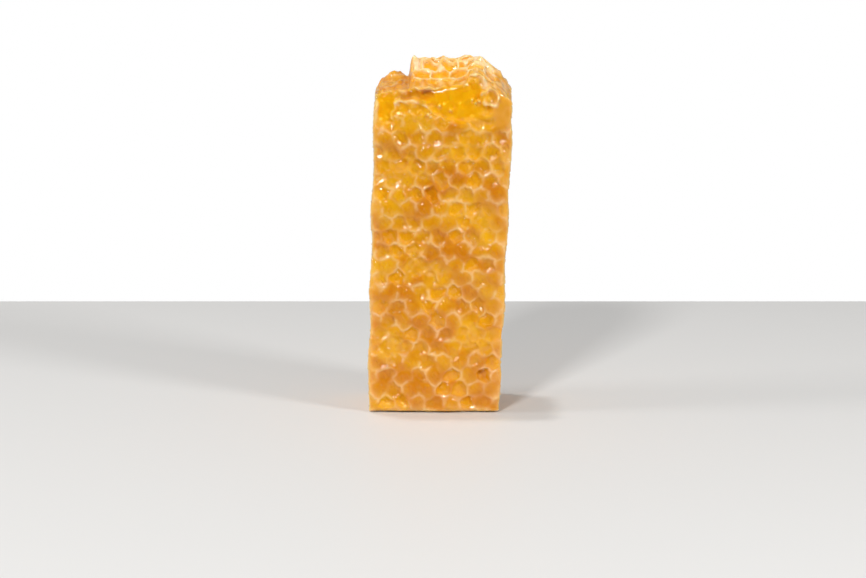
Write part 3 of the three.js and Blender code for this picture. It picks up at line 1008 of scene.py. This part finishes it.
@dataclass(frozen=True)
class Block:
    """A block of space, as samples at an even pitch."""

    low: tuple[float, float, float] = (-26.0, -17.0, -1.0)
    high: tuple[float, float, float] = (26.0, 17.0, 117.5)
    pitch: float = PITCH

    @cached_property
    def axes(self) -> tuple[Map, Map, Map]:
        """The samples' places along X, Y and Z."""
        x, y, z = (np.arange(a, b + self.pitch, self.pitch) for a, b in zip(self.low, self.high))
        return x, y, z

    def sample(self, values: Map, face: Face, places: Map) -> Map:
        """Reads a face's map at places between its samples.

        Args:
            values: The map.
            face: The face.
            places: Points, one row each.

        Returns:
            The map's value at each point.
        """
        shares = []
        for axis, size in zip(face.map_axes, values.shape):
            place = (places[:, axis] - self.axes[axis][0]) / self.pitch
            start = np.clip(np.floor(place).astype(int), 0, size - 2)
            shares.append((start, np.clip(place - start, 0.0, 1.0)))
        (i, s), (j, t) = shares
        near = blend(values[i, j], values[i, j + 1], t)
        far = blend(values[i + 1, j], values[i + 1, j + 1], t)
        return blend(near, far, s)

    def skin(self, inside: Map) -> tuple[Map, npt.NDArray[np.int32]]:
        """Finds the surface where a field passes through nought.

        Args:
            inside: The field, over 0 inside.

        Returns:
            The surface's points, and its four-sided faces with their fronts outwards.
        """
        padded = np.pad(np.clip(inside, -1.0, 1.0), 1, constant_values=-1.0)
        grid = openvdb.FloatGrid(-1.0)
        grid.copyFromArray(padded.astype(np.float32))
        points, _, quads = grid.convertToPolygons(0.0, 0.0)
        return np.array(self.low) + (points - 1.0) * self.pitch, quads[:, ::-1].astype(np.int32)


# ---- The comb ----


LOW_CORNER, HIGH_CORNER = 0, 6  # of the corners that Blender lists for an object's box


def points_of(piece: bpy.types.Object) -> npt.NDArray[np.float32]:
    """Reads the points of a piece's mesh.

    Args:
        piece: The piece.

    Returns:
        The points, one row each.
    """
    places = np.empty(len(piece.data.vertices) * 3, np.float32)
    piece.data.vertices.foreach_get("co", places)
    return places.reshape(-1, 3)


@dataclass
class Comb:
    """The piece of comb: the slab's form with each face's relief, and the meshes that they give."""

    slab: Slab = field(default_factory=Slab)
    block: Block = field(default_factory=Block)
    front_lattice: Lattice = Lattice(shift=(0.1, 2.9))
    back_lattice: Lattice = Lattice(shift=(2.75, 2.9))
    cell_tilt: float = math.radians(9.0)
    rounding: float = 1.1
    midrib_zigzag: float = 0.35
    overlap: float = 0.3  # how far honey reaches into the wax under it
    hidden: float = 0.5  # how deep in the wax its level lies where there is none
    look_blend: float = 0.35  # how far past an edge between two faces their looks mix
    look_reach: float = 8.0
    most_triangles: int = 190_000

    @cached_property
    def reliefs(self) -> dict[Face, Relief]:
        """Works out the relief of each face, over the block's own axes.

        Returns:
            The reliefs.
        """
        x, y, z = self.block.axes
        gx, gz = x[:, None], z[None, :]
        across = gx - self.slab.middle(gz)
        from_cut = np.minimum(self.slab.half_width(gz) - np.abs(across), gz)
        front = CappedFace(self.front_lattice, salt=20).relief(across, gz, from_cut)
        made = {
            Face.FRONT: CrushedHead().dress(gx, gz, self.front_lattice.locate(across, gz), front),
            Face.BACK: CappedFace(self.back_lattice, salt=40).relief(across, gz, from_cut),
        }
        gy = y[:, None]
        for face, seed in ((Face.LEFT, 60), (Face.RIGHT, 70)):
            cut = self.slab.side(face, gy, gz)
            made[face] = self.cut_relief(cut - self.slab.middle(gz), gy, gz, cut, gz, seed)
        gy = y[None, :]
        end = self.slab.torn(gx, gy)
        midrib = self.midrib(gx - self.slab.middle(end), end)
        made[Face.TORN] = TornFace().relief(gx, gy, np.abs(gy - midrib))
        across = gx - self.slab.middle(0.0)
        edge = self.slab.half_width(0.0) - np.abs(across)
        made[Face.FOOT] = self.cut_relief(across, gy, np.zeros_like(gx), gx, edge, seed=80)
        return made

    def cut_relief(self, across: Map, y: Map, z: Map, x: Map, edge: Map, seed: int) -> Relief:
        """Works out a cut through both layers of cells.

        Args:
            across: Place of the cut from the slab's middle line.
            y: Place through the slab.
            z: Height.
            x: Place of the cut.
            edge: Distance from the edge where this cut meets the next one.
            seed: Seed of the cut's unevenness.

        Returns:
            The relief at each place.
        """
        level = z - math.tan(self.cell_tilt) * (np.abs(y) - self.slab.thickness / 2)
        front, back = (vars(grid.locate(across, level)) for grid in (self.front_lattice, self.back_lattice))
        middle = self.midrib(across, z)
        ahead = y < middle
        cells = Cells(**{name: np.where(ahead, front[name], back[name]) for name in front})
        mouth = np.where(ahead, y - self.slab.side(Face.FRONT, x, z), self.slab.side(Face.BACK, x, z) - y)
        return CutFace().relief(cells, np.abs(y - middle), mouth, edge, self.block.pitch, seed)

    def midrib(self, across: Map, z: Map) -> Map:
        """Returns the y of the midrib, which zigzags between the bottoms of the two layers of cells."""
        front, back = (grid.locate(across, z) for grid in (self.front_lattice, self.back_lattice))
        return self.midrib_zigzag * (front.wall - back.wall)

    def field(self, lifts: Mapping[Face, Map]) -> Map:
        """Works out how deep each sample of the block lies inside the wax or the honey.

        Args:
            lifts: How far the wax or the honey stands out of each plain face.

        Returns:
            The depth at each sample, under 0 outside.
        """
        x, y, z = self.block.axes
        places = x[:, None, None], y[None, :, None], z[None, None, :]
        depths = (
            self.slab.depth(face, *places) + np.expand_dims(lift, face.axis) for face, lift in lifts.items()
        )
        return reduce(lambda total, depth: soft_min(total, depth, self.rounding), depths)

    def dressed_mesh(self, name: str, points: Map, quads: npt.NDArray[np.int32]) -> bpy.types.Object:
        """Makes a mesh object of a skin, thinned to the most triangles that a piece may have.

        Args:
            name: The piece's name.
            points: The skin's points, in the slab's own millimetres.
            quads: Its faces.

        Returns:
            The object.
        """
        mesh = bpy.data.meshes.new(name)
        mesh.vertices.add(len(points))
        mesh.vertices.foreach_set("co", points.astype(np.float32).ravel())
        mesh.loops.add(quads.size)
        mesh.loops.foreach_set("vertex_index", np.ascontiguousarray(quads).ravel())
        mesh.polygons.add(len(quads))
        mesh.polygons.foreach_set("loop_start", np.arange(0, quads.size, 4, dtype=np.int32))
        mesh.update(calc_edges=True)
        piece = bpy.data.objects.new(name, mesh)
        bpy.context.scene.collection.objects.link(piece)
        triangles = 2 * len(quads)
        if triangles > self.most_triangles:
            thin = piece.modifiers.new("thin", "DECIMATE")
            thin.ratio = self.most_triangles / triangles
            evaluated = piece.evaluated_get(bpy.context.evaluated_depsgraph_get())
            thinned = bpy.data.meshes.new_from_object(evaluated)
            piece.modifiers.clear()
            piece.data = thinned
            bpy.data.meshes.remove(mesh)
            thinned.name = name
        piece.data.shade_smooth()
        return piece

    def paint(self, piece: bpy.types.Object) -> None:
        """Writes on each point of a mesh how the faces near it look.

        Args:
            piece: The piece, still in the slab's own millimetres.
        """
        places = points_of(piece).astype(float)
        weights, found = [], {name: [] for name in LOOKS}
        for face, relief in self.reliefs.items():
            depth = self.slab.depth(face, *places.T) + self.block.sample(relief.wax, face, places)
            weights.append(np.exp(-np.clip(np.abs(depth), 0.0, self.look_reach) / self.look_blend))
            for name, values in found.items():
                values.append(self.block.sample(getattr(relief, name), face, places))
        shares = np.array(weights) / np.sum(weights, axis=0)
        for name, values in found.items():
            look = np.clip(np.sum(shares * np.array(values), axis=0), 0.0, 1.0).astype(np.float32)
            piece.data.attributes.new(name, "FLOAT", "POINT").data.foreach_set("value", look)

    def build(self) -> list[bpy.types.Object]:
        """Builds and dresses the pieces of the comb.

        Returns:
            The pieces: the wax of both layers of cells, and the honey that lies on it.
        """
        wax = self.field({face: relief.wax for face, relief in self.reliefs.items()})
        level = self.field({face: relief.level(self.hidden) for face, relief in self.reliefs.items()})
        cells = self.dressed_mesh("cells", *self.block.skin(wax))
        self.paint(cells)
        cells.data.materials.append(HoneyedBeeswax().material())
        honey = self.dressed_mesh("honey", *self.block.skin(np.minimum(level, self.overlap - wax)))
        honey.data.materials.append(ClearHoney().material())
        self.settle([cells, honey])
        return [cells, honey]

    @staticmethod
    def settle(pieces: Sequence[bpy.types.Object]) -> None:
        """Brings the pieces from the slab's millimetres into the frame, on the box of their solid.

        Args:
            pieces: The pieces of the comb.
        """
        corners = np.array([np.array(p.bound_box)[[LOW_CORNER, HIGH_CORNER]] for p in pieces]) * MM
        low, high = corners[:, 0].min(axis=0), corners[:, 1].max(axis=0)
        solid_low, solid_high = (np.array(corner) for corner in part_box(NODE))
        move = (solid_low + solid_high - low - high) / 2
        move[2] = solid_low[2] - low[2]
        for piece in pieces:
            placed = points_of(piece) * MM + move
            piece.data.vertices.foreach_set("co", placed.astype(np.float32).ravel())
            piece.data.update()


# ---- Studio ----


@dataclass(frozen=True)
class Softbox:
    """A square of soft light, hung where its glow comes from and turned to the comb."""

    name: str
    place: tuple[float, float, float]
    size: float
    watts: float

    def hang(self, aim: Vector) -> None:
        """Hangs the softbox.

        Args:
            aim: The point that it faces.
        """
        light = bpy.data.lights.new(self.name, "AREA")
        light.size = self.size
        light.energy = self.watts
        hung = bpy.data.objects.new(self.name, light)
        hung.location = self.place
        hung.rotation_euler = (aim - Vector(self.place)).to_track_quat("-Z", "Y").to_euler()
        bpy.context.scene.collection.objects.link(hung)


@dataclass(frozen=True)
class Fade:
    """A brightness that goes smoothly between two ends as a part of the direction crosses a span."""

    span: Span
    ends: Span

    def over(self, tree: Tree, part: Socket) -> Socket:
        """Adds the fade to the world.

        Args:
            tree: The world's nodes.
            part: The part of the direction, from -1 to 1.

        Returns:
            The socket of the brightness.
        """
        names = ("From Min", "From Max", "To Min", "To Max")
        inputs = {"Value": part, **dict(zip(names, self.span + self.ends))}
        return add_node(tree, "ShaderNodeMapRange", inputs, interpolation_type="SMOOTHSTEP").outputs["Result"]


@dataclass(frozen=True)
class Studio:
    """A white studio: a pale board, a bright ceiling, softboxes round the comb, and the camera before it."""

    board_x: Span = (-0.7, 0.7)
    board_y: Span = (-0.215, 0.168)
    aim: tuple[float, float, float] = (0.0, 0.0, 0.06)
    camera_place: tuple[float, float, float] = (-0.002, -1.004, 0.239)
    camera_down: float = math.radians(11.3)
    image_width: int = 866
    focal_pixels: float = 3120.0
    sensor_mm: float = 36.0
    backdrop_white: float = 1.0
    ceiling: Fade = Fade((0.0, 0.8), (0.05, 0.18))  # from the walls up
    tent: Fade = Fade((-0.6, 0.1), (0.0, 0.4))  # from before the comb to behind it
    tent_top: Fade = Fade((0.3, 0.75), (1.0, 0.0))
    softboxes: tuple[Softbox, ...] = (
        Softbox("key", (-0.4, -1.1, 0.85), 0.2, 10.6),
        Softbox("top", (-0.15, 0.1, 1.3), 0.08, 4.3),
        Softbox("right_side", (0.7, -0.5, 0.45), 0.2, 3.8),
        Softbox("left_side", (-0.8, -0.1, 0.4), 0.2, 2.0),
    )

    def build(self) -> None:
        """Lays the board, hangs the lights and sets up the world and the camera."""
        (left, right), (front, back) = self.board_x, self.board_y
        corners = [(left, front, 0.0), (right, front, 0.0), (right, back, 0.0), (left, back, 0.0)]
        mesh = bpy.data.meshes.new("board")
        mesh.from_pydata(corners, [], [(0, 1, 2, 3)])
        mesh.materials.append(PaintedBoard().material())
        board = bpy.data.objects.new("board", mesh)
        bpy.context.scene.collection.objects.link(board)
        for softbox in self.softboxes:
            softbox.hang(Vector(self.aim))
        self.surround()
        self.stand_camera()

    def surround(self) -> None:
        """Makes the world: white where the camera sees it, and for its light a tent with an open front.

        The tent stands beside and behind the comb and the room before it is dark, so that the wet wax has
        a bright outline and little to mirror on the side that the camera sees.
        """
        world = bpy.data.worlds.new("studio")
        world.use_nodes = True
        tree = world.node_tree
        tree.nodes.clear()
        direction = add_node(tree, "ShaderNodeTexCoord").outputs["Generated"]
        parts = add_node(tree, "ShaderNodeSeparateXYZ", {"Vector": direction}).outputs
        tent, top = self.tent.over(tree, parts["Y"]), self.tent_top.over(tree, parts["Z"])
        inputs = {0: tent, 1: top, 2: self.ceiling.over(tree, parts["Z"])}
        brightness = add_node(tree, "ShaderNodeMath", inputs, operation="MULTIPLY_ADD").outputs[0]
        light, backdrop = (
            add_node(tree, "ShaderNodeBackground", {"Color": WHITE, "Strength": strength}).outputs[0]
            for strength in (brightness, self.backdrop_white)
        )
        seen = add_node(tree, "ShaderNodeLightPath").outputs["Is Camera Ray"]
        both = add_node(tree, "ShaderNodeMixShader", {0: seen, 1: light, 2: backdrop})
        add_node(tree, "ShaderNodeOutputWorld", {"Surface": both.outputs[0]})
        bpy.context.scene.world = world

    def stand_camera(self) -> None:
        """Stands the camera before the comb, a little above it."""
        camera = bpy.data.cameras.new("camera")
        camera.sensor_width = self.sensor_mm
        camera.lens = self.focal_pixels / self.image_width * self.sensor_mm
        stood = bpy.data.objects.new("camera", camera)
        stood.location = self.camera_place
        stood.rotation_euler = (math.pi / 2 - self.camera_down, 0.0, 0.0)
        bpy.context.scene.collection.objects.link(stood)
        bpy.context.scene.camera = stood
        bpy.context.scene.view_settings.view_transform = "Standard"


def main() -> None:
    """Builds the studio and the comb, and ties each piece to the frame."""
    logging.basicConfig(level=logging.INFO, format="%(name)s: %(message)s")
    Studio().build()
    pitch = PITCH
    for piece in Comb(block=Block(pitch=pitch)).build():
        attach(piece, BODY)
        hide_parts(NODE)
        LOG.info("%s: %d faces", piece.name, len(piece.data.polygons))


if __name__ == "__main__":
    main()
